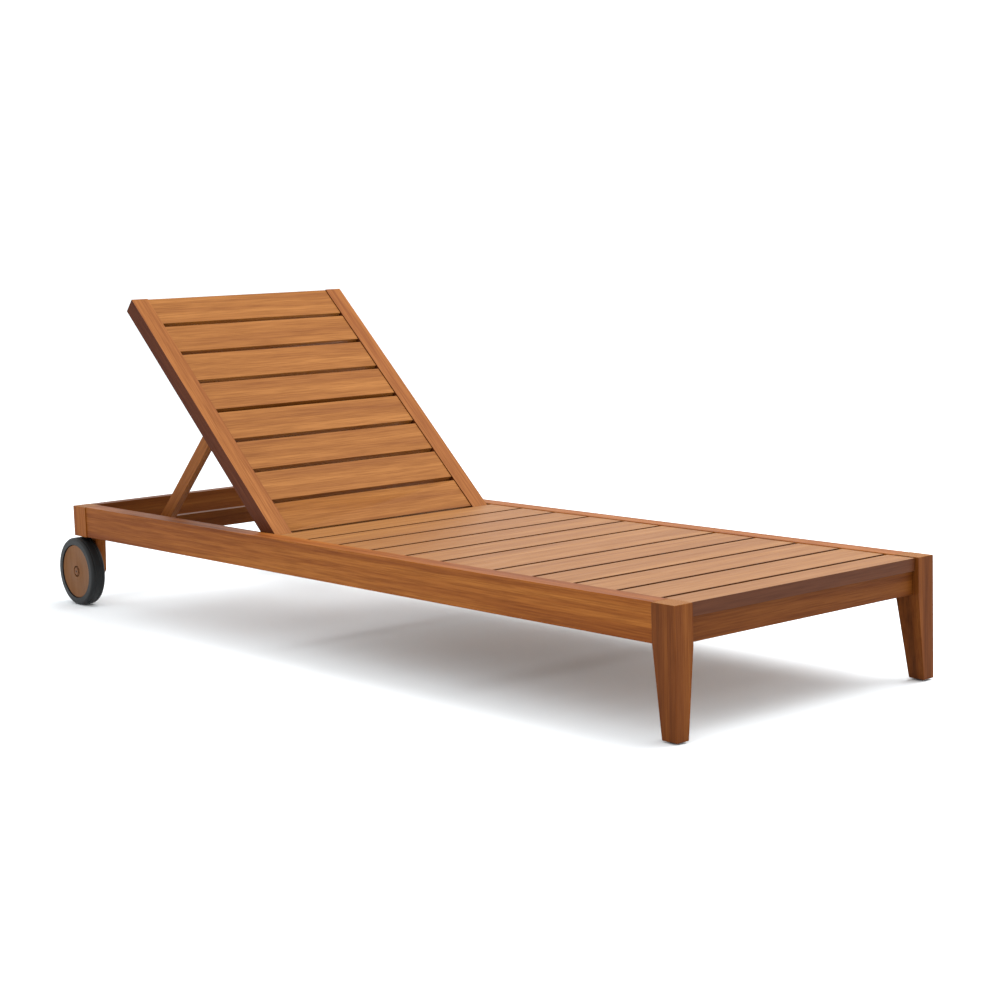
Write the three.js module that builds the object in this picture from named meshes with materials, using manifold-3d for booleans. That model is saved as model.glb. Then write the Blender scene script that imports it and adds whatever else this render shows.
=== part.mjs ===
// A reclining sun lounger in oiled hardwood: a low slatted bed on two tapered legs and two wheels, with a
// slatted backrest that hinges between the side rails, held up by a prop frame that stands in notched racks.
// Units are millimetres, +Z is up, the foot end points along +X and the floor is z = 0.
import * as THREE from 'three';
import { mergeVertices } from 'three/addons/utils/BufferGeometryUtils.js';
import Module from 'manifold-3d';

const wasm = await Module();
wasm.setup();

// ---- Driving dimensions -------------------------------------------------------------------------------
const LENGTH = 2000; // bed frame, end to end
const WIDTH = 675; // bed frame, outside of the corner posts
const DECK_HEIGHT = 235; // floor to the top of the side rails
const RAIL_HEIGHT = 71;
const POST_LENGTH = 55; // corner post section along the bed
const POST_WIDTH = 43; // corner post section across the bed
const RAIL_RECESS = 2; // side rails and head rail stand this far behind the posts' faces
const CROSS_RAIL_THICKNESS = 30;
const FOOT_SIZE_X = 36; // tapered leg at the floor
const FOOT_SIZE_Y = 28;
const GLIDE_HEIGHT = 3;
const GLIDE_RADIUS = 9;

const SEAT_SLATS = 11;
const WIDE_SLAT = 6; // counted from the hinge
const WIDE_SLAT_WIDTH = 145;
const SEAT_SLAT_THICKNESS = 24;
const SEAT_SLAT_DROP = 1.5; // slat top below the rail top
const SEAT_GAP = 10;
const END_SLAT_WIDTH = 63; // the last slat, at the foot end
const END_SLAT_RECESS = 7; // end slat edge behind the leg's end face
const FOOT_RAIL_SETBACK = 7; // foot rail behind the end slat's edge
const BEARER_WIDTH = 20;
const BEARER_HEIGHT = 28;
const STRETCHER_THICKNESS = 30;

const BACK_LENGTH = 728; // backrest, pivot to top end
const BACK_SLATS = 8;
const BACK_GAP = 11;
const BACK_SLAT_THICKNESS = 20;
const BACK_SLAT_DROP = 2; // slat face below the stile face
const BACK_SLAT_START = 8; // pivot to the bottom slat's lower edge
const STILE_WIDTH = 42;
const STILE_DEPTH = 36;
const STILE_SIDE_GAP = 4; // between a stile and its rail
const BACK_END_GAP = 6; // between the lowered backrest and the head rail
const BACK_FOOT_GAP = 4; // between the stile's round end and the seat
const RECLINE_DEG = 42.3; // backrest above level in the pose that is drawn
const STOP_STEP_DEG = 14.1; // recline from one notch to the next
const STOPS = [-3, -2, -1, 0, 1]; // notches, counted from the pose that is drawn

const ARM_WIDTH = 30;
const ARM_THICKNESS = 16;
const ARM_SIDE_GAP = 2; // between an arm and its stile
const ARM_PIVOT_ALONG = 358; // backrest pivot to arm pivot, along the stile
const ARM_PIVOT_BEHIND = 34; // arm pivot behind the stile's centre plane
const ARM_ANGLE_DEG = 44.6; // arm below level in the pose that is drawn
const ARM_TURN_RATIO = 1.06; // arm's change of slope for each degree of recline
const ARM_PIN_DROP = 41; // deck height down to the arm's foot pin
const ARM_TOE = 10; // arm end beyond the foot pin
const CROSSBAR_THICKNESS = 22;
const CROSSBAR_HEIGHT = 38;
const CROSSBAR_RISE = 4; // middle of the crossbar above the foot pins
const BATTEN_WIDTH = 36;
const FOOT_PIN_RADIUS = 5;
const FOOT_PIN_GRIP = 24; // foot pin length inside the crossbar
const PIVOT_BOLT_RADIUS = 4;
const BOLT_HEAD_RADIUS = 8;
const BOLT_HEAD_DEPTH = 4;
const BOLT_GRIP = 34; // bolt length beyond the arm

const RACK_THICKNESS = 16;
const RACK_END = 16; // rack beyond its first and last notches
const PIN_CLEARANCE = 0.7; // between a foot pin and the rack's teeth
const NOTCH_DEPTH = 5; // notch middle below the pin that passes over it
const PATH_STEPS = 60; // places on the foot pins' path that the rack is kept under

const HINGE_PIN_RADIUS = 6;
const HINGE_COLLAR_RADIUS = 13;
const HINGE_PIN_GRIP = 28; // pin length in the rail and in the stile

const WHEEL_RADIUS = 80;
const AXLE_INSET = 15; // wheel centre in from the head end of the bed
const TYRE_WIDTH = 36;
const TYRE_SHOULDER = 7;
const TYRE_BEVEL = 2.3; // corner cut in the rounding of the shoulder
const DISC_RADIUS = 63;
const DISC_RECESS = 2.5; // disc face behind the tyre's side
const DISC_RIM = 3; // raised rim ring around the disc face
const DISC_DISH = 1; // disc face behind its rim
const WHEEL_OUTSET = 12; // tyre's outer side beyond the corner post
const WHEEL_CLEARANCE = 3.7; // frame kept this far outside the tread
const WHEEL_LEG_THICKNESS = 24;
const WHEEL_LEG_STEP = 8; // wheel leg further in than the rails
const WHEEL_LEG_REAR = 26; // wheel leg behind the axle, and its end radius
const WHEEL_LEG_FRONT = 35; // wheel leg in front of the axle
const WHEEL_LEG_HEEL_DEG = 40; // where the leg's front face meets its round end
const AXLE_RADIUS = 6;
const BUSH_RADIUS = 10;
const AXLE_HEAD_RADIUS = 10;
const AXLE_HEAD_DEPTH = 5;
const AXLE_CAP_RADIUS = 8;
const AXLE_CAP_DEPTH = 1.5;

const TOUCH = 0.3; // between pieces that are fixed together
const RUN = 0.3; // round a pin that turns
const OVER = 1; // a cutting shape passes this far beyond the faces that it cuts
const ROUND = 48; // facets round a pin or hole
const WHEEL_ROUND = 72; // facets round a wheel

// ---- Positions that follow from them ------------------------------------------------------------------
const rad = THREE.MathUtils.degToRad;
const halfLength = LENGTH / 2;
const halfWidth = WIDTH / 2;
const railBottom = DECK_HEIGHT - RAIL_HEIGHT;
const railInner = halfWidth - POST_WIDTH; // inner faces of rails and posts
const headRailInner = -halfLength + RAIL_RECESS + CROSS_RAIL_THICKNESS;
const seatSlatTop = DECK_HEIGHT - SEAT_SLAT_DROP;
const seatSlatBottom = seatSlatTop - SEAT_SLAT_THICKNESS;
const supportTop = seatSlatBottom - TOUCH;
const endSlatEdge = halfLength - END_SLAT_RECESS;
const footRailOuter = endSlatEdge - FOOT_RAIL_SETBACK;
const footRailInner = footRailOuter - CROSS_RAIL_THICKNESS;

const pivot = { x: headRailInner + BACK_END_GAP + BACK_LENGTH, z: DECK_HEIGHT - STILE_DEPTH / 2 };
const seatStart = pivot.x + STILE_DEPTH / 2 + BACK_FOOT_GAP;
const stileOuter = railInner - STILE_SIDE_GAP;
const stileInner = stileOuter - STILE_WIDTH;
const armOuter = stileInner - ARM_SIDE_GAP;
const armInner = armOuter - ARM_THICKNESS;
const backSlatBack = STILE_DEPTH / 2 - BACK_SLAT_DROP - BACK_SLAT_THICKNESS; // from the stile's centre plane
const loweredBack = DECK_HEIGHT - STILE_DEPTH; // underside of the lowered stiles

const recline = rad(RECLINE_DEG);
const armPivot = backPoint(ARM_PIVOT_ALONG, -ARM_PIVOT_BEHIND, recline);
const armSlope = rad(ARM_ANGLE_DEG);
const armReach = (armPivot.z - (DECK_HEIGHT - ARM_PIN_DROP)) / Math.sin(armSlope);
const footPin = footPinAt(0);
const rackInner = railInner - RACK_THICKNESS;
const rackTail = footPinAt(STOPS[0] * STOP_STEP_DEG).x - RACK_END;

const axle = { x: -halfLength + AXLE_INSET, z: WHEEL_RADIUS };
const wheelOuter = halfWidth + WHEEL_OUTSET;
const wheelInner = wheelOuter - TYRE_WIDTH;
const wheelLegInner = railInner - WHEEL_LEG_STEP;
const wheelLegOuter = wheelLegInner + WHEEL_LEG_THICKNESS;

// A point of the backrest: along from its pivot towards the top, out from the centre plane of the stiles.
function backPoint(along, out, angle) {
  return {
    x: pivot.x - along * Math.cos(angle) + out * Math.sin(angle),
    z: pivot.z + along * Math.sin(angle) + out * Math.cos(angle),
  };
}

// Where the arms' foot pins stand when the backrest has been turned by a number of degrees.
function footPinAt(turnDeg) {
  const from = backPoint(ARM_PIVOT_ALONG, -ARM_PIVOT_BEHIND, recline + rad(turnDeg));
  const slope = armSlope + rad(turnDeg * ARM_TURN_RATIO);
  return { x: from.x - armReach * Math.cos(slope), z: from.z - armReach * Math.sin(slope) };
}

// ---- Materials ----------------------------------------------------------------------------------------
const finish = {
  rail: { color: 0x9c5f30, roughness: 0.5, metalness: 0 },
  slat: { color: 0xb9804f, roughness: 0.5, metalness: 0 },
  hidden: { color: 0x7d4a26, roughness: 0.6, metalness: 0 },
  disc: { color: 0x85593a, roughness: 0.45, metalness: 0 },
  rubber: { color: 0x171b1d, roughness: 0.6, metalness: 0 },
  nylon: { color: 0x2a2c2e, roughness: 0.5, metalness: 0 },
  steel: { color: 0xa9abad, roughness: 0.35, metalness: 1 },
};

// ---- Shape helpers ------------------------------------------------------------------------------------
function block(x0, x1, y0, y1, z0, z1) {
  const shape = new THREE.BoxGeometry(x1 - x0, y1 - y0, z1 - z0);
  return shape.translate((x0 + x1) / 2, (y0 + y1) / 2, (z0 + z1) / 2);
}

// A shape drawn in side view (x, z) and given thickness across the bed from y0 to y1.
function sideProfile(shape, y0, y1) {
  const options = { depth: y1 - y0, bevelEnabled: false, curveSegments: ROUND / 4 };
  const solid = new THREE.ExtrudeGeometry(shape, options);
  return solid.rotateX(Math.PI / 2).translate(0, y1, 0);
}

function sideOutline(points) {
  return new THREE.Shape(points.map((p) => new THREE.Vector2(p.x, p.z)));
}

// A round bar across the bed.
function crossBar(radius, at, y0, y1) {
  const bar = new THREE.CylinderGeometry(radius, radius, y1 - y0, ROUND);
  return bar.translate(at.x, (y0 + y1) / 2, at.z);
}

// A block of the backrest, from its lower to its upper edge and from its back to its front.
function backBlock(along0, along1, out0, out1, y0, y1) {
  const corners = [[along0, out0], [along1, out0], [along1, out1], [along0, out1]];
  return sideProfile(sideOutline(corners.map(([a, o]) => backPoint(a, o, recline))), y0, y1);
}

function toSolid(geometry) {
  const bare = geometry.clone();
  bare.deleteAttribute('normal');
  bare.deleteAttribute('uv');
  const merged = mergeVertices(bare, 1e-4);
  const mesh = new wasm.Mesh({
    numProp: 3,
    vertProperties: new Float32Array(merged.attributes.position.array),
    triVerts: new Uint32Array(merged.index.array),
  });
  return new wasm.Manifold(mesh);
}

function toGeometry(solid) {
  const mesh = solid.getMesh();
  const geometry = new THREE.BufferGeometry();
  geometry.setAttribute('position', new THREE.BufferAttribute(new Float32Array(mesh.vertProperties), 3));
  geometry.setIndex(new THREE.BufferAttribute(new Uint32Array(mesh.triVerts), 1));
  const flat = geometry.toNonIndexed();
  flat.computeVertexNormals();
  return flat;
}

function cut(body, ...tools) {
  return toGeometry(tools.reduce((solid, tool) => solid.subtract(toSolid(tool)), toSolid(body)));
}

function join(...bodies) {
  return toGeometry(bodies.slice(1).reduce((solid, body) => solid.add(toSolid(body)), toSolid(bodies[0])));
}

function common(a, b) {
  return toGeometry(toSolid(a).intersect(toSolid(b)));
}

const lounger = new THREE.Group();
// The wheels stand out at the head end, so the bed is moved to keep the whole object centred on the origin.
lounger.position.x = (WHEEL_RADIUS - AXLE_INSET) / 2;

function addPiece(name, geometry, look) {
  const mesh = new THREE.Mesh(geometry, new THREE.MeshStandardMaterial(look));
  mesh.name = name;
  lounger.add(mesh);
}

// Builds a piece once for each side of the bed: side -1 is the near side (-Y) and side +1 the far side. The
// span it hands on turns two distances from the centre line into y limits in rising order.
function onBothSides(build) {
  for (const side of [-1, 1]) {
    const label = side < 0 ? 'near' : 'far';
    const span = (a, b) => (side < 0 ? [-Math.max(a, b), -Math.min(a, b)] : [Math.min(a, b), Math.max(a, b)]);
    build(label, span, side);
  }
}

// ---- Bed frame ----------------------------------------------------------------------------------------
// The room that a wheel needs. A frame piece that reaches into it is cut away there.
function wheelArch(span) {
  const across = span(wheelLegOuter + TOUCH, halfWidth + OVER);
  return crossBar(WHEEL_RADIUS + WHEEL_CLEARANCE, axle, ...across);
}

function sideRail(span) {
  const body = block(
    -halfLength + POST_LENGTH + TOUCH, halfLength - POST_LENGTH - TOUCH,
    ...span(railInner, halfWidth - RAIL_RECESS), railBottom, DECK_HEIGHT,
  );
  const bore = span(railInner - OVER, railInner + HINGE_PIN_GRIP + TOUCH);
  const hole = crossBar(HINGE_PIN_RADIUS + TOUCH, pivot, ...bore);
  return cut(body, hole, wheelArch(span));
}

function crossRail(x0, x1, top) {
  const reach = railInner - TOUCH;
  return block(x0, x1, -reach, reach, railBottom, top);
}

// A foot leg: full section beside the rails, then tapered on its two inner faces down to the glide.
function footLeg(span, side) {
  const lengthways = sideOutline([
    { x: halfLength - POST_LENGTH, z: DECK_HEIGHT },
    { x: halfLength - POST_LENGTH, z: railBottom },
    { x: halfLength - FOOT_SIZE_X, z: GLIDE_HEIGHT },
    { x: halfLength, z: GLIDE_HEIGHT },
    { x: halfLength, z: DECK_HEIGHT },
  ]);
  const across = new THREE.Shape([
    new THREE.Vector2(halfWidth, GLIDE_HEIGHT),
    new THREE.Vector2(halfWidth, DECK_HEIGHT),
    new THREE.Vector2(railInner, DECK_HEIGHT),
    new THREE.Vector2(railInner, railBottom),
    new THREE.Vector2(halfWidth - FOOT_SIZE_Y, GLIDE_HEIGHT),
  ]);
  const depth = 2 * POST_LENGTH;
  const acrossSolid = new THREE.ExtrudeGeometry(across, { depth, bevelEnabled: false });
  acrossSolid.translate(0, 0, -depth / 2).rotateX(Math.PI / 2).rotateZ(side * Math.PI / 2);
  acrossSolid.translate(halfLength - POST_LENGTH / 2, 0, 0);
  return common(sideProfile(lengthways, ...span(railInner - OVER, halfWidth)), acrossSolid);
}

function glide(side) {
  const height = GLIDE_HEIGHT - TOUCH;
  const pad = new THREE.CylinderGeometry(GLIDE_RADIUS, GLIDE_RADIUS, height, ROUND);
  const y = side * (halfWidth - FOOT_SIZE_Y / 2);
  return pad.rotateX(Math.PI / 2).translate(halfLength - FOOT_SIZE_X / 2, y, height / 2);
}

// A wheel leg: the head end's corner post, which goes on below the rail as a thinner leg set further in, to
// make room for the wheel. Its front face is raked back to the round end that holds the axle.
function wheelLeg(span) {
  const heel = rad(WHEEL_LEG_HEEL_DEG);
  const outline = new THREE.Shape();
  outline.moveTo(-halfLength, railBottom);
  outline.lineTo(-halfLength + POST_LENGTH, railBottom);
  outline.lineTo(axle.x + WHEEL_LEG_FRONT, axle.z);
  outline.lineTo(axle.x + WHEEL_LEG_REAR * Math.sin(heel), axle.z - WHEEL_LEG_REAR * Math.cos(heel));
  outline.absarc(axle.x, axle.z, WHEEL_LEG_REAR, heel - Math.PI / 2, -Math.PI, true);
  outline.lineTo(-halfLength, axle.z + WHEEL_RADIUS / 2);
  const across = span(railInner, halfWidth);
  const post = block(-halfLength, -halfLength + POST_LENGTH, ...across, railBottom, DECK_HEIGHT);
  const leg = sideProfile(outline, ...span(wheelLegInner, wheelLegOuter));
  const bore = crossBar(AXLE_RADIUS + TOUCH, axle, ...span(wheelLegInner - OVER, wheelLegOuter + OVER));
  return cut(join(post, leg), bore, wheelArch(span));
}

// The foot pins' places from the lowered backrest to the steepest one.
function footPinPath() {
  const first = STOPS[0];
  const turn = (STOPS[STOPS.length - 1] - first) * STOP_STEP_DEG;
  const places = Array.from({ length: PATH_STEPS + 1 }, (_, i) => i / PATH_STEPS);
  return places.map((share) => footPinAt(first * STOP_STEP_DEG + share * turn));
}

// A rack on the inside of a side rail. Its straight top edge, the tips of the teeth, lies just under the path
// of the foot pins, with a round notch at each stop.
function rack(span) {
  const pins = STOPS.map((stop) => footPinAt(stop * STOP_STEP_DEG));
  const low = pins[0];
  const high = pins[pins.length - 1];
  const room = FOOT_PIN_RADIUS + PIN_CLEARANCE;
  const rise = (high.z - low.z) / (high.x - low.x);
  const chordAt = (x) => low.z + (x - low.x) * rise;
  const sag = Math.max(...footPinPath().map((pin) => chordAt(pin.x) - pin.z));
  const topAt = (x) => ({ x, z: chordAt(x) - sag - room });
  const front = high.x + RACK_END;
  const outline = sideOutline([
    { x: rackTail, z: railBottom },
    { x: front, z: railBottom },
    topAt(front),
    topAt(rackTail),
  ]);
  const body = sideProfile(outline, ...span(rackInner, railInner - TOUCH));
  const reach = span(rackInner - OVER, railInner + OVER);
  const notches = pins.map((pin) => crossBar(room, { x: pin.x, z: pin.z - NOTCH_DEPTH }, ...reach));
  return cut(body, ...notches);
}

function hingePin(span) {
  const grip = span(railInner + HINGE_PIN_GRIP, stileOuter - HINGE_PIN_GRIP);
  const collar = span(railInner - TOUCH, stileOuter + TOUCH);
  return join(crossBar(HINGE_PIN_RADIUS, pivot, ...grip), crossBar(HINGE_COLLAR_RADIUS, pivot, ...collar));
}

function buildFrame() {
  onBothSides((label, span, side) => {
    addPiece(`side_rail_${label}`, sideRail(span), finish.rail);
    addPiece(`foot_leg_${label}`, footLeg(span, side), finish.rail);
    addPiece(`foot_glide_${label}`, glide(side), finish.nylon);
    addPiece(`wheel_leg_${label}`, wheelLeg(span), finish.rail);
    addPiece(`notched_rack_${label}`, rack(span), finish.hidden);
    addPiece(`stile_rest_${label}`, block(headRailInner + TOUCH, rackTail - TOUCH,
      ...span(rackInner, railInner - TOUCH), railBottom, loweredBack - TOUCH), finish.hidden);
    addPiece(`hinge_pin_${label}`, hingePin(span), finish.steel);
  });
  const headRailOuter = headRailInner - CROSS_RAIL_THICKNESS;
  addPiece('head_rail', crossRail(headRailOuter, headRailInner, DECK_HEIGHT), finish.rail);
  addPiece('foot_rail', crossRail(footRailInner, footRailOuter, supportTop), finish.rail);
}

// ---- Seat deck ----------------------------------------------------------------------------------------
function buildSeat() {
  const gaps = (SEAT_SLATS - 1) * SEAT_GAP;
  const slatWidth = (endSlatEdge - seatStart - gaps - WIDE_SLAT_WIDTH - END_SLAT_WIDTH) / (SEAT_SLATS - 2);
  const widths = { [WIDE_SLAT]: WIDE_SLAT_WIDTH, [SEAT_SLATS]: END_SLAT_WIDTH };
  const reach = railInner - TOUCH;
  let x = seatStart;
  for (let n = 1; n <= SEAT_SLATS; n += 1) {
    const end = x + (widths[n] ?? slatWidth);
    const number = String(n).padStart(2, '0');
    addPiece(`seat_slat_${number}`, block(x, end, -reach, reach, seatSlatBottom, seatSlatTop), finish.slat);
    x = end + SEAT_GAP;
  }
  const hingeSide = seatStart + TOUCH;
  const bearerStart = hingeSide + STRETCHER_THICKNESS + TOUCH;
  onBothSides((label, span) => {
    addPiece(`seat_bearer_${label}`, block(bearerStart, footRailInner - TOUCH,
      ...span(railInner - TOUCH - BEARER_WIDTH, railInner - TOUCH), supportTop - BEARER_HEIGHT, supportTop),
    finish.hidden);
  });
  addPiece('hinge_stretcher', block(hingeSide, hingeSide + STRETCHER_THICKNESS, -reach, reach, railBottom,
    supportTop), finish.hidden);
  const middle = (seatStart + endSlatEdge) / 2;
  const between = railInner - 2 * TOUCH - BEARER_WIDTH;
  addPiece('middle_stretcher', block(middle - STRETCHER_THICKNESS / 2, middle + STRETCHER_THICKNESS / 2,
    -between, between, railBottom, supportTop), finish.hidden);
}

// ---- Backrest -----------------------------------------------------------------------------------------
function stile(span) {
  const half = STILE_DEPTH / 2;
  const outline = sideOutline([
    backPoint(0, -half, recline),
    backPoint(BACK_LENGTH, -half, recline),
    backPoint(BACK_LENGTH, half, recline),
    backPoint(0, half, recline),
  ]);
  const body = join(
    sideProfile(outline, ...span(stileInner, stileOuter)),
    crossBar(half, pivot, ...span(stileInner, stileOuter)),
  );
  const bore = span(stileOuter - HINGE_PIN_GRIP - TOUCH, stileOuter + OVER);
  const hole = crossBar(HINGE_PIN_RADIUS + RUN, pivot, ...bore);
  return cut(body, hole);
}

// The batten behind the slats carries the prop arms on a bolt at each end.
function batten() {
  const reach = armInner - ARM_SIDE_GAP;
  const half = BATTEN_WIDTH / 2;
  const body = backBlock(ARM_PIVOT_ALONG - half, ARM_PIVOT_ALONG + half,
    -ARM_PIVOT_BEHIND - ARM_WIDTH / 2, backSlatBack - TOUCH, -reach, reach);
  const ends = [-1, 1].map((side) => {
    const limits = [side * (armOuter - BOLT_HEAD_DEPTH - BOLT_GRIP - TOUCH), side * (armInner + OVER)];
    return crossBar(PIVOT_BOLT_RADIUS + TOUCH, armPivot, Math.min(...limits), Math.max(...limits));
  });
  return cut(body, ...ends);
}

function armBolt(span) {
  const underHead = armOuter - BOLT_HEAD_DEPTH;
  return join(
    crossBar(BOLT_HEAD_RADIUS, armPivot, ...span(underHead, armOuter)),
    crossBar(PIVOT_BOLT_RADIUS, armPivot, ...span(underHead - BOLT_GRIP, armOuter)),
  );
}

function buildBackrest() {
  const slatWidth = (BACK_LENGTH - BACK_SLAT_START - (BACK_SLATS - 1) * BACK_GAP) / BACK_SLATS;
  const reach = stileInner - TOUCH;
  for (let i = 0; i < BACK_SLATS; i += 1) {
    const along = BACK_SLAT_START + i * (slatWidth + BACK_GAP);
    addPiece(`back_slat_${i + 1}`, backBlock(along, along + slatWidth, backSlatBack,
      backSlatBack + BACK_SLAT_THICKNESS, -reach, reach), finish.slat);
  }
  onBothSides((label, span) => {
    addPiece(`back_stile_${label}`, stile(span), finish.rail);
    addPiece(`arm_bolt_${label}`, armBolt(span), finish.steel);
  });
  addPiece('back_batten', batten(), finish.hidden);
}

// ---- Prop ---------------------------------------------------------------------------------------------
// A point on an arm: along from its pivot towards the foot pin, out from its centre line.
function armPoint(along, out) {
  return {
    x: armPivot.x - along * Math.cos(armSlope) - out * Math.sin(armSlope),
    z: armPivot.z - along * Math.sin(armSlope) + out * Math.cos(armSlope),
  };
}

function propArm(span) {
  const half = ARM_WIDTH / 2;
  const toe = armReach + ARM_TOE;
  const corners = [[0, -half], [toe, -half], [toe, half], [0, half]];
  const body = join(
    sideProfile(sideOutline(corners.map(([a, o]) => armPoint(a, o))), ...span(armInner, armOuter)),
    crossBar(half, armPivot, ...span(armInner, armOuter)),
  );
  return cut(
    body,
    crossBar(PIVOT_BOLT_RADIUS + RUN, armPivot, ...span(armInner - OVER, armOuter + OVER)),
    crossBar(BOLT_HEAD_RADIUS + RUN, armPivot, ...span(armOuter - BOLT_HEAD_DEPTH - RUN, armOuter + OVER)),
    crossBar(FOOT_PIN_RADIUS + TOUCH, footPin, ...span(armInner - OVER, armOuter + OVER)),
  );
}

// The bar between the arms' feet, which makes one frame of them, bored at each end for a foot pin.
function crossbar() {
  const reach = armInner - TOUCH;
  const middle = footPin.z + CROSSBAR_RISE;
  const bar = block(
    footPin.x - CROSSBAR_THICKNESS / 2, footPin.x + CROSSBAR_THICKNESS / 2, -reach, reach,
    middle - CROSSBAR_HEIGHT / 2, middle + CROSSBAR_HEIGHT / 2,
  );
  const boreDepth = FOOT_PIN_GRIP + TOUCH;
  return cut(
    bar,
    crossBar(FOOT_PIN_RADIUS + TOUCH, footPin, -reach - OVER, -armInner + boreDepth),
    crossBar(FOOT_PIN_RADIUS + TOUCH, footPin, armInner - boreDepth, reach + OVER),
  );
}

function buildProp() {
  onBothSides((label, span) => {
    addPiece(`prop_arm_${label}`, propArm(span), finish.rail);
    const pin = crossBar(FOOT_PIN_RADIUS, footPin, ...span(armInner - FOOT_PIN_GRIP, railInner - 2 * TOUCH));
    addPiece(`foot_pin_${label}`, pin, finish.steel);
  });
  addPiece('prop_crossbar', crossbar(), finish.hidden);
}

// ---- Wheels -------------------------------------------------------------------------------------------
// A turned piece about the axle, from (radius, distance out from the centre line) points that close on
// themselves.
function turned(points, side) {
  const profile = points.map(([r, y]) => new THREE.Vector2(r, y));
  const ring = new THREE.LatheGeometry([...profile, profile[0]], WHEEL_ROUND);
  if (side < 0) {
    ring.rotateX(Math.PI);
  }
  return ring.translate(axle.x, 0, axle.z);
}

function tyre(side) {
  const bore = DISC_RADIUS + TOUCH;
  const flank = WHEEL_RADIUS - TYRE_SHOULDER;
  return turned([
    [bore, wheelInner], [flank, wheelInner], [WHEEL_RADIUS - TYRE_BEVEL, wheelInner + TYRE_BEVEL],
    [WHEEL_RADIUS, wheelInner + TYRE_SHOULDER], [WHEEL_RADIUS, wheelOuter - TYRE_SHOULDER],
    [WHEEL_RADIUS - TYRE_BEVEL, wheelOuter - TYRE_BEVEL], [flank, wheelOuter], [bore, wheelOuter],
  ], side);
}

function wheelDisc(side) {
  const bore = BUSH_RADIUS + TOUCH;
  const rim = wheelOuter - DISC_RECESS;
  const face = rim - DISC_DISH;
  return turned([
    [bore, wheelInner + DISC_RECESS], [DISC_RADIUS, wheelInner + DISC_RECESS], [DISC_RADIUS, rim],
    [DISC_RADIUS - DISC_RIM, rim], [DISC_RADIUS - DISC_RIM - DISC_DISH, face], [bore, face],
  ], side);
}

function wheelBush(side) {
  const bore = AXLE_RADIUS + RUN;
  const shoulder = wheelInner + DISC_RECESS - TOUCH;
  const hub = wheelLegOuter + TOUCH;
  const face = wheelOuter - DISC_RECESS - DISC_DISH;
  return turned([
    [bore, hub], [BUSH_RADIUS + DISC_RIM, hub], [BUSH_RADIUS + DISC_RIM, shoulder], [BUSH_RADIUS, shoulder],
    [BUSH_RADIUS, face], [bore, face],
  ], side);
}

function wheelAxle(side) {
  const end = wheelOuter - DISC_RECESS - DISC_DISH + TOUCH;
  const seat = wheelLegInner - TOUCH;
  return turned([
    [0, seat - AXLE_HEAD_DEPTH], [AXLE_HEAD_RADIUS, seat - AXLE_HEAD_DEPTH], [AXLE_HEAD_RADIUS, seat],
    [AXLE_RADIUS, seat], [AXLE_RADIUS, end], [AXLE_CAP_RADIUS, end], [AXLE_CAP_RADIUS, end + AXLE_CAP_DEPTH],
    [0, end + AXLE_CAP_DEPTH],
  ], side);
}

function buildWheels() {
  onBothSides((label, span, side) => {
    addPiece(`tyre_${label}`, tyre(side), finish.rubber);
    addPiece(`wheel_disc_${label}`, wheelDisc(side), finish.disc);
    addPiece(`wheel_bush_${label}`, wheelBush(side), finish.nylon);
    addPiece(`wheel_axle_${label}`, wheelAxle(side), finish.steel);
  });
}

buildFrame();
buildSeat();
buildBackrest();
buildProp();
buildWheels();

export default lounger;
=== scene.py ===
"""A reclining sun lounger in oiled hardwood, dressed and lit in a white studio
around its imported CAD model.

Lengths are in metres unless a name says otherwise, +Z is up and the foot end points along +X.
"""

import math

import bmesh
import bpy
from mathutils import Matrix, Vector


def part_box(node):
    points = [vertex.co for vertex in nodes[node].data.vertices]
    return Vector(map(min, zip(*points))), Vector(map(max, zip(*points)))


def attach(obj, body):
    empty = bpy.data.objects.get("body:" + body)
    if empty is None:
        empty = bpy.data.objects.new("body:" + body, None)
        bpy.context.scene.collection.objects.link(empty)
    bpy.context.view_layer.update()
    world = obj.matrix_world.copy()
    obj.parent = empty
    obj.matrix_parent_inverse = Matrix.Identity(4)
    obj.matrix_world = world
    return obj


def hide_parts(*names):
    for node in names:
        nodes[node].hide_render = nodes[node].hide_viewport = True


# ---- Sizes and looks ----------------------------------------------------------------------------------
MM = 0.001
RECLINE = math.radians(42.3)  # the backrest's slope in the pose that is drawn
ARM_SLOPE = math.radians(44.6)  # the prop arms' slope in that pose

ARRIS = 1.3 * MM  # a hardwood board's corners, eased with sandpaper
METAL_ARRIS = 0.5 * MM
ARRIS_ANGLE = math.radians(30)
ARRIS_SEGMENTS = 2
WELD = 0.01 * MM

NOISE_LOW, NOISE_HIGH = 0.3, 0.7  # most of a noise's values lie between these
WHITE = "ffffff"

GRAIN_STRETCH = 40  # how many times longer than wide a streak in a board is
PORE_STRETCH = 60
STREAK_MM = 21
GRAIN_LINE_MM = 2.4
PORE_MM = 1.1
PORE_DEPTH = 0.4 * MM
PORE_START, PORE_FULL = 0.60, 0.74  # the noise value where a pore begins, and where it is darkest
PORE_STRENGTH = 0.42
KNOT_SPACING_MM = 77
KNOT_CORE, KNOT_RIM = 0.045, 0.09  # the knot's dark core and faded rim, as shares of the spacing
KNOT_STRENGTH = 0.8
BOARD_OFFSET = (1.37, 0.73, 2.11)  # from one board's figure to the next one's
LINE_SHADE = "b09a8a"
LINE_DEPTH = 0.55
LINE_LOW, LINE_HIGH = 0.36, 0.60  # the noise values of a line's darkest and its last trace
WOOD_DULL, WOOD_SATIN = 0.58, 0.44  # roughness along the dark lines and between them
WOOD_RELIEF = 0.12
EDGE_TURN = (0.6, 0.9)  # cosines between which a face begins to count, and fully counts, as a sawn edge
TOP_TURN = (0.7, 0.95)  # the same for a post's top, which is painted lighter
# Painted shade: the colour that darkens the sawn edges of the seat slats and of the backrest's stiles.
EDGE_SHADE = "987a66"
KNOT = "2a1408"
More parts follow.
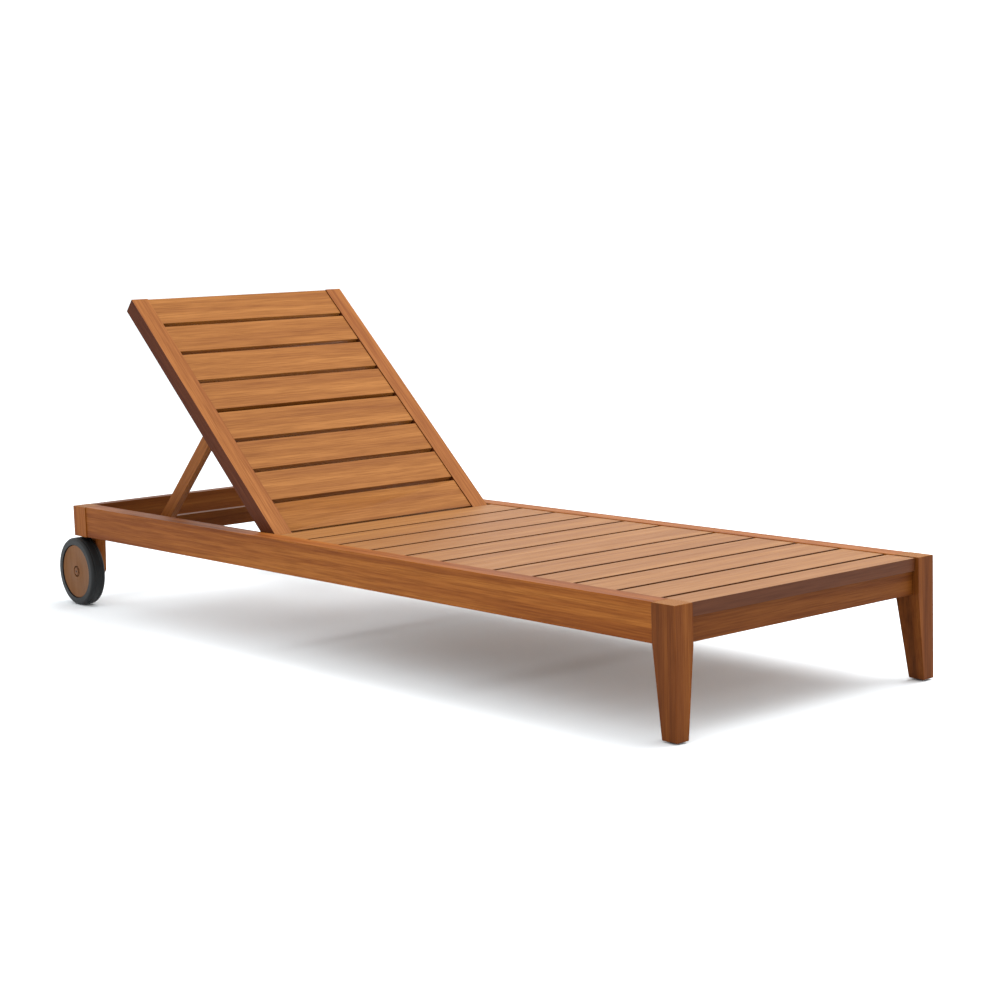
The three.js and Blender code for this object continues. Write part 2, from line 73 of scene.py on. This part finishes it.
# Painted light: the lighter colour of a post's top, the face that looks up to the light.
PAINTED_TOP_LIGHT = "88561f"
WOOD_IOR = 1.47
BARE, OILED, RUBBED = 0.06, 0.08, 0.17  # sheen: seldom touched, oiled, and rubbed bright by use
ALONG_X, ALONG_Y, ALONG_Z = 0, 1, 2

DISC_OFFSET = (3.1, 0.4, 1.9)
DISC_STRETCH = 12
DISC_LINE_MM = 3.1
RUBBER_IOR, NYLON_IOR = 1.52, 1.53
# The cap's dark spot is painted shade, where a hole would be.
CAP_HOLE_SHADE_RADIUS = 2.4 * MM
CAP_HOLE_SHADE_EDGE = 0.6 * MM
RUBBER_MOTTLE_MM = 3.8
RUBBER_GRIT_MM = 0.7
RUBBER_GRIT_DEPTH = 0.15 * MM
NYLON_MOTTLE_MM = 1.7
BRUSH_MM = 1.1
BRUSH_STRETCH = 20
STEEL_WEAR_MM = 11

TYRE_SEGMENTS = 160
TYRE_SHOULDER_STEPS = 7
TYRE_SHOULDER = 6.5 * MM
TYRE_GROOVE = 0.7 * MM
GROOVE_PLACE, GROOVE_HALF = 0.16, 0.04  # its middle and its half width, as shares of the tread's width
TYRE_SEAT_CLEARANCE = 0.3 * MM
DISC_SEGMENTS = 144
DISC_CHAMFER = 1.5 * MM
DISC_RIM, DISC_RIM_FOOT = 3.5 * MM, 5 * MM  # from the disc's edge to the rim's shoulder and to its foot
DISC_RIM_STEP = 1.0 * MM
DISC_HOLLOW = 1.2 * MM
BOSS_WIDTH, BOSS_FOOT = 6 * MM, 9 * MM  # from the bore to the boss's shoulder and to its foot
BOSS_STEP = 0.6 * MM
BUSH_CLEARANCE = 0.2 * MM
SMOOTH_ANGLE = math.radians(35)

CAMERA_PLACE = Vector((3.40608, -2.70839, 0.86012))
CAMERA_YAW = math.radians(139.822)
CAMERA_PITCH = math.radians(-7.521)
CAMERA_ROLL = math.radians(-1.754)
CAMERA_LENS_MM = 74.69
CAMERA_SENSOR_MM = 36
CAMERA_REACH = 200

FLOOR_SIDE = 80
PAPER = "eef3f6"
WORLD_STRENGTH = 1.35
SOFTBOX_PLACE, SOFTBOX_AIM = (0.7, 1.7, 3.8), (0, 0, 0.2)
SOFTBOX_SIDE = 3.4
SOFTBOX_WATTS = 192

SIDES = ("near", "far")


# ---- Colour and nodes ---------------------------------------------------------------------------------
def linear(hex_colour):
    """An sRGB colour such as "a0622f" as linear RGBA."""
    parts = [int(hex_colour[i : i + 2], 16) / 255 for i in (0, 2, 4)]
    return [c / 12.92 if c <= 0.04045 else ((c + 0.055) / 1.055) ** 2.4 for c in parts] + [1.0]


def scale_of(size_mm):
    """The texture scale at which a pattern's features are this many millimetres wide."""
    return 1 / (size_mm * MM)


def add_node(tree, kind, inputs, stops=(), **settings):
    """Adds a node with its settings, its ramp's colour stops and its inputs. An input is a value, a socket,
    or a node, whose first working output is linked."""
    made = tree.nodes.new(kind)
    for key, value in settings.items():
        setattr(made, key, value)
    for _ in stops[2:]:
        made.color_ramp.elements.new(0.5)
    for index, (place, colour) in enumerate(stops):
        made.color_ramp.elements[index].position = place
        made.color_ramp.elements[index].color = linear(colour)
    connect(tree, made, inputs)
    return made


def connect(tree, target, inputs):
    """Sets or links a node's inputs."""
    for key, value in inputs.items():
        if isinstance(value, bpy.types.Node):
            value = next(socket for socket in value.outputs if socket.enabled)
        if isinstance(value, bpy.types.NodeSocket):
            tree.links.new(value, target.inputs[key])
        else:
            target.inputs[key].default_value = value


def new_material(name):
    """A material, its node tree, its surface shader and the place on the piece that is being shaded."""
    material = bpy.data.materials.new(name)
    material.use_nodes = True
    tree = material.node_tree
    place = add_node(tree, "ShaderNodeTexCoord", {})
    return material, tree, tree.nodes["Principled BSDF"], place.outputs


# ---- Wood ---------------------------------------------------------------------------------------------
def along_grain(tree, place, grain_axis, tilt, offset, stretch):
    """Coordinates squeezed along the board, so that a round spot in them is a long streak."""
    level = add_node(
        tree, "ShaderNodeMapping", {"Vector": place, "Rotation": (0, tilt, 0), "Location": offset}
    )
    squeeze = [1.0, 1.0, 1.0]
    squeeze[grain_axis] = 1 / stretch
    return add_node(tree, "ShaderNodeMapping", {"Vector": level, "Scale": squeeze})


def oiled_board(name, board, serial, knots=False):
    """Oiled eucalyptus, planed and sanded. Long soft streaks of warm light and dark run with the board, over
    a finer straight grain with short open pores. The oil leaves a low satin sheen, duller along the dark
    lines."""
    tones, grain_axis, tilt, line_strength, sheen, edge_axis = board
    dark, middle, light = tones
    material, tree, surface, place = new_material(name)
    offset = [serial * step for step in BOARD_OFFSET]
    figure = along_grain(tree, place["Object"], grain_axis, tilt, offset, GRAIN_STRETCH)
    short = along_grain(tree, place["Object"], grain_axis, tilt, offset, PORE_STRETCH)

    streaks = add_node(
        tree,
        "ShaderNodeTexNoise",
        {"Vector": figure, "Scale": scale_of(STREAK_MM), "Detail": 3.0, "Roughness": 0.5},
    )
    lines = add_node(
        tree,
        "ShaderNodeTexNoise",
        {"Vector": figure, "Scale": scale_of(GRAIN_LINE_MM), "Detail": 4.0, "Roughness": 0.62},
    )
    pores = add_node(
        tree,
        "ShaderNodeTexNoise",
        {"Vector": short, "Scale": scale_of(PORE_MM), "Detail": 2.0, "Roughness": 0.5},
    )
    body = add_node(
        tree,
        "ShaderNodeValToRGB",
        {"Fac": streaks},
        ((NOISE_LOW, dark), (0.5, middle), (NOISE_HIGH, light)),
    )
    shaded_lines = add_node(
        tree, "ShaderNodeValToRGB", {"Fac": lines}, ((LINE_LOW, LINE_SHADE), (LINE_HIGH, WHITE))
    )
    colour = add_node(
        tree,
        "ShaderNodeMix",
        {0: LINE_DEPTH * line_strength, 6: body, 7: shaded_lines},
        data_type="RGBA",
        blend_type="MULTIPLY",
    )
    open_pores = add_node(
        tree,
        "ShaderNodeMapRange",
        {"Value": pores, "From Min": PORE_START, "From Max": PORE_FULL, "To Max": PORE_STRENGTH},
    )
    colour = add_node(
        tree, "ShaderNodeMix", {0: open_pores, 6: colour, 7: linear(dark)}, data_type="RGBA"
    )
    if knots:
        colour = pin_knots(tree, place["Object"], colour, offset)
    # A post's top is painted lighter, as painted light from above.
    if grain_axis == ALONG_Z:
        colour = lit_post_top(tree, place["Normal"], colour, shaded_lines)
    # Painted shade on the sawn edges, the faces that look along edge_axis.
    if edge_axis is not None:
        colour = shaded_sawn_edges(tree, place["Normal"], colour, edge_axis)

    relief = add_node(
        tree, "ShaderNodeMix", {0: 0.5, 2: lines.outputs[0], 3: pores.outputs[0]}, data_type="FLOAT"
    )
    bump = add_node(
        tree, "ShaderNodeBump", {"Height": relief, "Strength": WOOD_RELIEF, "Distance": PORE_DEPTH}
    )
    satin = add_node(
        tree,
        "ShaderNodeMapRange",
        {
            "Value": lines,
            "From Min": NOISE_LOW,
            "From Max": NOISE_HIGH,
            "To Min": WOOD_DULL,
            "To Max": WOOD_SATIN,
        },
    )
    connect(
        tree,
        surface,
        {
            "Base Color": colour,
            "Roughness": satin,
            "IOR": WOOD_IOR,
            "Specular IOR Level": sheen,
            "Normal": bump,
        },
    )
    return material


def shaded_sawn_edges(tree, facing, colour, edge_axis):
    """A board's sawn edges, the faces that look along edge_axis, are painted darker and redder than its
    planed face: painted shade on those sides."""
    split = add_node(tree, "ShaderNodeSeparateXYZ", {"Vector": facing})
    along = add_node(tree, "ShaderNodeMath", {0: split.outputs[edge_axis]}, operation="ABSOLUTE")
    start, full = EDGE_TURN
    share = add_node(tree, "ShaderNodeMapRange", {"Value": along, "From Min": start, "From Max": full})
    # The painted shade: the colour multiplied by the edge shade.
    edge_shaded = add_node(
        tree,
        "ShaderNodeMix",
        {0: 1.0, 6: colour, 7: linear(EDGE_SHADE)},
        data_type="RGBA",
        blend_type="MULTIPLY",
    )
    return add_node(tree, "ShaderNodeMix", {0: share, 6: colour, 7: edge_shaded}, data_type="RGBA")


def lit_post_top(tree, facing, colour, shaded_lines):
    """The sanded top of a post is painted lighter, as light as the lit boards beside it: painted light
    from above. It cuts across the grain, so the lines show there as fine specks of end grain."""
    split = add_node(tree, "ShaderNodeSeparateXYZ", {"Vector": facing})
    start, full = TOP_TURN
    share = add_node(
        tree, "ShaderNodeMapRange", {"Value": split.outputs["Z"], "From Min": start, "From Max": full}
    )
    lit_end_grain = add_node(
        tree,
        "ShaderNodeMix",
        {0: LINE_DEPTH, 6: linear(PAINTED_TOP_LIGHT), 7: shaded_lines},
        data_type="RGBA",
        blend_type="MULTIPLY",
    )
    return add_node(tree, "ShaderNodeMix", {0: share, 6: colour, 7: lit_end_grain}, data_type="RGBA")


def pin_knots(tree, place, colour, offset):
    """A few small round dark knots, as the stock for the legs has."""
    spread = add_node(tree, "ShaderNodeMapping", {"Vector": place, "Location": offset})
    cells = add_node(tree, "ShaderNodeTexVoronoi", {"Vector": spread, "Scale": scale_of(KNOT_SPACING_MM)})
    spots = add_node(
        tree,
        "ShaderNodeMapRange",
        {
            "Value": cells,
            "From Min": KNOT_CORE,
            "From Max": KNOT_RIM,
            "To Min": KNOT_STRENGTH,
            "To Max": 0.0,
        },
    )
    return add_node(tree, "ShaderNodeMix", {0: spots, 6: colour, 7: linear(KNOT)}, data_type="RGBA")


# What the eye sees on each kind of board: darkest streak, body, lightest streak.
RAIL_TONES = ("6e370d", "844a18", "955a23")
LEG_TONES = ("4e270b", "653511", "754218")
SEAT_TONES = ("7e4f22", "885929", "926332")
BACK_TONES = ("784619", "875422", "94602c")
STILE_TONES = ("7a441a", "885222", "965e2b")
# The end rails and the prop's crossbar are painted darker than the side rails: painted shade at the recessed
# ends and under the backrest.
SHADED_CROSS_TONES = ("55290a", "63340e", "704016")
# Boards hidden under the seat and the backrest are painted darkest: painted shade beneath them.
SHADED_HIDDEN_TONES = ("381804", "482308", "582d0d")

# Boards by node name: tones, which way the grain runs, its tilt about Y, strength of the fine lines, sheen,
# and the way that the sawn edges look, with painted shade, where they show.
BOARDS = {
    "side_rail": (RAIL_TONES, ALONG_X, 0.0, 1.0, OILED, None),
    "foot_leg": (LEG_TONES, ALONG_Z, 0.0, 1.0, OILED, None),
    "wheel_leg": (RAIL_TONES, ALONG_Z, 0.0, 1.0, OILED, None),
    "notched_rack": (SHADED_HIDDEN_TONES, ALONG_X, 0.0, 1.0, BARE, None),
    "stile_rest": (SHADED_HIDDEN_TONES, ALONG_X, 0.0, 1.0, BARE, None),
    "seat_bearer": (SHADED_HIDDEN_TONES, ALONG_X, 0.0, 1.0, BARE, None),
    "head_rail": (SHADED_CROSS_TONES, ALONG_Y, 0.0, 0.9, OILED, None),
    "foot_rail": (SHADED_CROSS_TONES, ALONG_Y, 0.0, 0.9, OILED, None),
    "hinge_stretcher": (SHADED_HIDDEN_TONES, ALONG_Y, 0.0, 1.0, BARE, None),
    "middle_stretcher": (SHADED_HIDDEN_TONES, ALONG_Y, 0.0, 1.0, BARE, None),
    "seat_slat": (SEAT_TONES, ALONG_Y, 0.0, 0.6, RUBBED, ALONG_X),
    "back_slat": (BACK_TONES, ALONG_Y, 0.0, 0.9, OILED, None),
    "back_stile": (STILE_TONES, ALONG_X, -RECLINE, 1.0, OILED, ALONG_Y),
    "back_batten": (SHADED_HIDDEN_TONES, ALONG_Y, 0.0, 1.0, BARE, None),
    "prop_crossbar": (SHADED_CROSS_TONES, ALONG_Y, 0.0, 1.0, OILED, None),
    "prop_arm": (STILE_TONES, ALONG_X, ARM_SLOPE, 1.0, OILED, None),
}


def kind_of(node):
    """The board kind that a CAD node's name starts with, or None."""
    kinds = [kind for kind in BOARDS if node.startswith(kind)]
    return max(kinds, key=len) if kinds else None


# ---- Other materials ----------------------------------------------------------------------------------
def turned_disc():
    """Solid eucalyptus wheel disc, faced on a lathe: a plain even brown with a faint straight grain."""
    material, tree, surface, place = new_material("turned_eucalyptus_disc")
    figure = along_grain(tree, place["Object"], ALONG_Z, 0.0, DISC_OFFSET, DISC_STRETCH)
    streaks = add_node(
        tree, "ShaderNodeTexNoise", {"Vector": figure, "Scale": scale_of(STREAK_MM), "Detail": 3.0}
    )
    lines = add_node(
        tree, "ShaderNodeTexNoise", {"Vector": figure, "Scale": scale_of(DISC_LINE_MM), "Detail": 3.0}
    )
    body = add_node(
        tree,
        "ShaderNodeValToRGB",
        {"Fac": streaks},
        ((0.32, "684527"), (0.52, "6f4a2c"), (0.70, "764f31")),
    )
    faint = add_node(tree, "ShaderNodeValToRGB", {"Fac": lines}, ((0.35, "e2dad2"), (0.60, WHITE)))
    colour = add_node(
        tree, "ShaderNodeMix", {0: 0.5, 6: body, 7: faint}, data_type="RGBA", blend_type="MULTIPLY"
    )
    connect(
        tree,
        surface,
        {"Base Color": colour, "Roughness": 0.5, "IOR": WOOD_IOR, "Specular IOR Level": OILED},
    )
    return material


def moulded_rubber():
    """Solid rubber tyre from a mould: black, a little blue in the light, satin with a fine mottle. The grit
    is drawn coarser than it is, so that it shows."""
    material, tree, surface, place = new_material("moulded_rubber")
    mottle = add_node(
        tree,
        "ShaderNodeTexNoise",
        {"Vector": place["Object"], "Scale": scale_of(RUBBER_MOTTLE_MM), "Detail": 4.0},
    )
    grit = add_node(
        tree,
        "ShaderNodeTexNoise",
        {"Vector": place["Object"], "Scale": scale_of(RUBBER_GRIT_MM), "Detail": 2.0},
    )
    colour = add_node(
        tree, "ShaderNodeValToRGB", {"Fac": mottle}, ((NOISE_LOW, "07090a"), (NOISE_HIGH, "0d1011"))
    )
    satin = add_node(
        tree,
        "ShaderNodeMapRange",
        {"Value": mottle, "From Min": NOISE_LOW, "From Max": NOISE_HIGH, "To Min": 0.42, "To Max": 0.58},
    )
    bump = add_node(
        tree, "ShaderNodeBump", {"Height": grit, "Strength": 0.15, "Distance": RUBBER_GRIT_DEPTH}
    )
    connect(
        tree,
        surface,
        {
            "Base Color": colour,
            "Roughness": satin,
            "IOR": RUBBER_IOR,
            "Specular IOR Level": 0.28,
            "Normal": bump,
        },
    )
    return material


def moulded_nylon():
    """Black nylon of the glides under the feet, matt from the mould and slightly mottled."""
    material, tree, surface, place = new_material("moulded_black_nylon")
    mottle = add_node(
        tree,
        "ShaderNodeTexNoise",
        {"Vector": place["Object"], "Scale": scale_of(NYLON_MOTTLE_MM), "Detail": 3.0},
    )
    colour = add_node(
        tree, "ShaderNodeValToRGB", {"Fac": mottle}, ((NOISE_LOW, "202224"), (NOISE_HIGH, "2c2f31"))
    )
    connect(tree, surface, {"Base Color": colour, "Roughness": 0.55, "IOR": NYLON_IOR})
    return material


def brown_nylon_hub():
    """Brown nylon of the bush and of the cap over the axle's end, close to the disc's colour. The cap has a
    small dark spot in its middle, painted shade of a hole that its shape lacks."""
    material, tree, surface, place = new_material("brown_nylon_hub")
    low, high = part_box("wheel_axle_near")
    hub = (-(low.x + high.x) / 2, 0, -(low.z + high.z) / 2)
    about = add_node(tree, "ShaderNodeMapping", {"Vector": place["Object"], "Location": hub})
    flat = add_node(tree, "ShaderNodeMapping", {"Vector": about, "Scale": (1, 0, 1)})
    radius = add_node(tree, "ShaderNodeVectorMath", {0: flat}, operation="LENGTH")
    hole_shade = add_node(
        tree,
        "ShaderNodeMapRange",
        {
            "Value": radius.outputs["Value"],
            "From Min": CAP_HOLE_SHADE_RADIUS,
            "From Max": CAP_HOLE_SHADE_RADIUS + CAP_HOLE_SHADE_EDGE,
            "To Min": 1.0,
            "To Max": 0.0,
        },
    )
    mottle = add_node(
        tree,
        "ShaderNodeTexNoise",
        {"Vector": place["Object"], "Scale": scale_of(NYLON_MOTTLE_MM), "Detail": 3.0},
    )
    shell = add_node(
        tree, "ShaderNodeValToRGB", {"Fac": mottle}, ((NOISE_LOW, "67432a"), (NOISE_HIGH, "704a2e"))
    )
    # The dark spot in the cap's middle is painted shade, standing in for a hole.
    colour = add_node(
        tree, "ShaderNodeMix", {0: hole_shade, 6: shell, 7: linear("1c1410")}, data_type="RGBA"
    )
    connect(
        tree,
        surface,
        {"Base Color": colour, "Roughness": 0.55, "IOR": NYLON_IOR, "Specular IOR Level": OILED},
    )
    return material


def brushed_stainless():
    """Stainless steel of the pins and bolts, turned and brushed: pale grey with fine lines of haze."""
    material, tree, surface, place = new_material("brushed_stainless_steel")
    brushed = along_grain(tree, place["Object"], ALONG_Y, 0.0, (0, 0, 0), BRUSH_STRETCH)
    haze = add_node(
        tree, "ShaderNodeTexNoise", {"Vector": brushed, "Scale": scale_of(BRUSH_MM), "Detail": 2.0}
    )
    wear = add_node(
        tree,
        "ShaderNodeTexNoise",
        {"Vector": place["Object"], "Scale": scale_of(STEEL_WEAR_MM), "Detail": 3.0},
    )
    colour = add_node(
        tree, "ShaderNodeValToRGB", {"Fac": wear}, ((NOISE_LOW, "98999b"), (NOISE_HIGH, "b0b1b3"))
    )
    gloss = add_node(
        tree,
        "ShaderNodeMapRange",
        {"Value": haze, "From Min": NOISE_LOW, "From Max": NOISE_HIGH, "To Min": 0.26, "To Max": 0.42},
    )
    connect(tree, surface, {"Base Color": colour, "Metallic": 1.0, "Roughness": gloss})
    return material


def dress(piece, material):
    """Puts one material on a piece, in place of any it had."""
    piece.data.materials.clear()
    piece.data.materials.append(material)


# ---- Boards -------------------------------------------------------------------------------------------
def ease_edges(piece, width):
    """Rounds a piece's corners a little, so that they catch the light as sanded ones do."""
    weld = piece.modifiers.new("weld", "WELD")
    weld.merge_threshold = WELD
    bevel = piece.modifiers.new("arris", "BEVEL")
    bevel.width = width
    bevel.segments = ARRIS_SEGMENTS
    bevel.limit_method = "ANGLE"
    bevel.angle_limit = ARRIS_ANGLE
    bevel.harden_normals = False


def dress_boards(nodes):
    """Gives each board its own cut of wood, so that no two show the same figure."""
    for serial, name in enumerate(sorted(nodes)):
        kind = kind_of(name)
        if kind is None:
            continue
        wood = oiled_board(f"oiled_{name}", BOARDS[kind], serial, kind == "foot_leg")
        dress(nodes[name], wood)
        ease_edges(nodes[name], ARRIS)


def dress_fittings(nodes):
    """Nylon on the glides, the bushes and the capped axles, and steel on the pins and bolts."""
    nylon = moulded_nylon()
    steel = brushed_stainless()
    hub = brown_nylon_hub()
    for name, piece in nodes.items():
        if name.startswith("foot_glide"):
            dress(piece, nylon)
        if name.startswith(("wheel_bush", "wheel_axle")):
            dress(piece, hub)
        if name.startswith(("hinge_pin", "arm_bolt", "foot_pin")):
            dress(piece, steel)
            ease_edges(piece, METAL_ARRIS)


# ---- Wheels -------------------------------------------------------------------------------------------
def lathe(name, outline, centre, segments):
    """A ring or disc turned about an axis along Y. The outline is a closed loop of (radius, y) places."""
    mesh = bpy.data.meshes.new(name)
    bm = bmesh.new()
    rings = []
    for step in range(segments):
        angle = 2 * math.pi * step / segments
        across, up = math.cos(angle), math.sin(angle)
        rings.append(
            [bm.verts.new((centre.x + r * across, y, centre.z + r * up)) for r, y in outline]
        )
    for step, ring in enumerate(rings):
        following = rings[(step + 1) % segments]
        for i in range(len(outline)):
            j = (i + 1) % len(outline)
            bm.faces.new((ring[i], ring[j], following[j], following[i]))
    bmesh.ops.recalc_face_normals(bm, faces=bm.faces)
    for edge in bm.edges:
        edge.smooth = edge.calc_face_angle(0) < SMOOTH_ANGLE
    for face in bm.faces:
        face.smooth = True
    bm.to_mesh(mesh)
    bm.free()
    piece = bpy.data.objects.new(name, mesh)
    bpy.context.scene.collection.objects.link(piece)
    return piece


def tyre_outline(low, high, outer, inner):
    """Section of a solid tyre: round shoulders and a flat tread with a fine groove by each shoulder."""
    tread = high - low - 2 * TYRE_SHOULDER
    points = [(inner, low)]
    points += quarter(outer - TYRE_SHOULDER, low + TYRE_SHOULDER, TYRE_SHOULDER, -90)
    for middle in (GROOVE_PLACE, 1 - GROOVE_PLACE):
        for aside, depth in ((-GROOVE_HALF, 0), (0, TYRE_GROOVE), (GROOVE_HALF, 0)):
            points.append((outer - depth, low + TYRE_SHOULDER + (middle + aside) * tread))
    points += quarter(outer - TYRE_SHOULDER, high - TYRE_SHOULDER, TYRE_SHOULDER, 0)
    points.append((inner, high))
    return points


def quarter(r, y, radius, start_deg):
    """A quarter round in (radius, y) about a centre, from start_deg on."""
    places = []
    for step in range(TYRE_SHOULDER_STEPS + 1):
        angle = math.radians(start_deg + 90 * step / TYRE_SHOULDER_STEPS)
        places.append((r + radius * math.cos(angle), y + radius * math.sin(angle)))
    return places


def disc_outline(low, high, outer, bore, outside):
    """Section of the disc: a rounded raised rim, a shallow turned hollow and a small boss round the bush.
    outside is -1 where the wheel's outer face looks along -Y and 1 where it looks along +Y."""
    face, back = (low, high) if outside < 0 else (high, low)
    sink = -outside
    return [
        (bore, back),
        (outer - DISC_CHAMFER, back),
        (outer, back + outside * DISC_CHAMFER),
        (outer, face + sink * DISC_CHAMFER),
        (outer - DISC_CHAMFER, face),
        (outer - DISC_RIM, face),
        (outer - DISC_RIM_FOOT, face + sink * DISC_RIM_STEP),
        (bore + BOSS_FOOT, face + sink * DISC_HOLLOW),
        (bore + BOSS_WIDTH, face + sink * BOSS_STEP),
        (bore, face + sink * BOSS_STEP),
    ]


def build_wheel(side, rubber, wood):
    """A finer tyre and disc in the places of the CAD ones."""
    outside = -1 if side == "near" else 1
    low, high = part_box(f"tyre_{side}")
    centre = (low + high) / 2
    disc_low, disc_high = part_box(f"wheel_disc_{side}")
    bush_low, bush_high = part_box(f"wheel_bush_{side}")
    seat = (disc_high.x - disc_low.x) / 2
    bore = (bush_high.x - bush_low.x) / 2 + BUSH_CLEARANCE
    outer = (high.x - low.x) / 2

    tyre = lathe(
        f"moulded_tyre_{side}",
        tyre_outline(low.y, high.y, outer, seat + TYRE_SEAT_CLEARANCE),
        centre,
        TYRE_SEGMENTS,
    )
    dress(tyre, rubber)
    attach(tyre, f"wheel_{side}")
    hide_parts(f"tyre_{side}")

    disc = lathe(
        f"turned_disc_{side}",
        disc_outline(disc_low.y, disc_high.y, seat, bore, outside),
        centre,
        DISC_SEGMENTS,
    )
    dress(disc, wood)
    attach(disc, f"wheel_{side}")
    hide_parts(f"wheel_disc_{side}")


# ---- Studio -------------------------------------------------------------------------------------------
def camera_axes():
    """The camera's right, up and backward directions."""
    ahead = Vector(
        (
            math.cos(CAMERA_PITCH) * math.cos(CAMERA_YAW),
            math.cos(CAMERA_PITCH) * math.sin(CAMERA_YAW),
            math.sin(CAMERA_PITCH),
        )
    )
    level = ahead.cross(Vector((0, 0, 1))).normalized()
    upright = level.cross(ahead)
    right = math.cos(CAMERA_ROLL) * level + math.sin(CAMERA_ROLL) * upright
    up = math.cos(CAMERA_ROLL) * upright - math.sin(CAMERA_ROLL) * level
    return right, up, -ahead


def add_camera():
    """The camera that stands beyond the foot end, to the near side, and looks a little down."""
    data = bpy.data.cameras.new("studio_camera")
    data.lens = CAMERA_LENS_MM
    data.sensor_width = CAMERA_SENSOR_MM
    data.clip_end = CAMERA_REACH
    camera = bpy.data.objects.new("studio_camera", data)
    bpy.context.scene.collection.objects.link(camera)
    turn = Matrix(camera_axes()).transposed().to_4x4()
    camera.matrix_world = Matrix.Translation(CAMERA_PLACE) @ turn
    bpy.context.scene.camera = camera


def studio_paper():
    """Seamless studio paper, white, even and without a sheen. A trace of blue cancels the warm bounce."""
    material, tree, surface, _ = new_material("white_studio_paper")
    connect(tree, surface, {"Base Color": linear(PAPER), "Roughness": 1.0})
    return material


def add_floor():
    """A wide sheet of studio paper at floor height."""
    half = FLOOR_SIDE / 2
    mesh = bpy.data.meshes.new("studio_floor")
    corners = [(-half, -half, 0), (half, -half, 0), (half, half, 0), (-half, half, 0)]
    mesh.from_pydata(corners, [], [(0, 1, 2, 3)])
    floor = bpy.data.objects.new("studio_floor", mesh)
    bpy.context.scene.collection.objects.link(floor)
    dress(floor, studio_paper())


def add_softbox(name, place, aim, side, watts):
    """A square lamp that looks from its place towards the aim."""
    data = bpy.data.lights.new(name, "AREA")
    data.shape = "SQUARE"
    data.size = side
    data.energy = watts
    lamp = bpy.data.objects.new(name, data)
    bpy.context.scene.collection.objects.link(lamp)
    lamp.location = place
    lamp.rotation_euler = (Vector(aim) - Vector(place)).to_track_quat("-Z", "Y").to_euler()


def light_studio():
    """White surroundings and one big softbox overhead, a little behind the lounger."""
    world = bpy.data.worlds.new("studio_surroundings")
    world.use_nodes = True
    background = world.node_tree.nodes["Background"]
    background.inputs["Color"].default_value = linear(WHITE)
    background.inputs["Strength"].default_value = WORLD_STRENGTH
    bpy.context.scene.world = world
    add_softbox("overhead_softbox", SOFTBOX_PLACE, SOFTBOX_AIM, SOFTBOX_SIDE, SOFTBOX_WATTS)
    bpy.context.scene.view_settings.view_transform = "Standard"


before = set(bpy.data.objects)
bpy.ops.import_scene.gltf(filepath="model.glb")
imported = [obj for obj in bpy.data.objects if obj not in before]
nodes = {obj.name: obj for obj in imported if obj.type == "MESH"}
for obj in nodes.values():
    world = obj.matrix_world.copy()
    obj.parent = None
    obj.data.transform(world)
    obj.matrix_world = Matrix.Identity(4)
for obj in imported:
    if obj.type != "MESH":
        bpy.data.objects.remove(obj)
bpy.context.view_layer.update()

dress_boards(nodes)
dress_fittings(nodes)
rubber = moulded_rubber()
disc_wood = turned_disc()
for side in SIDES:
    build_wheel(side, rubber, disc_wood)

add_camera()
add_floor()
light_studio()
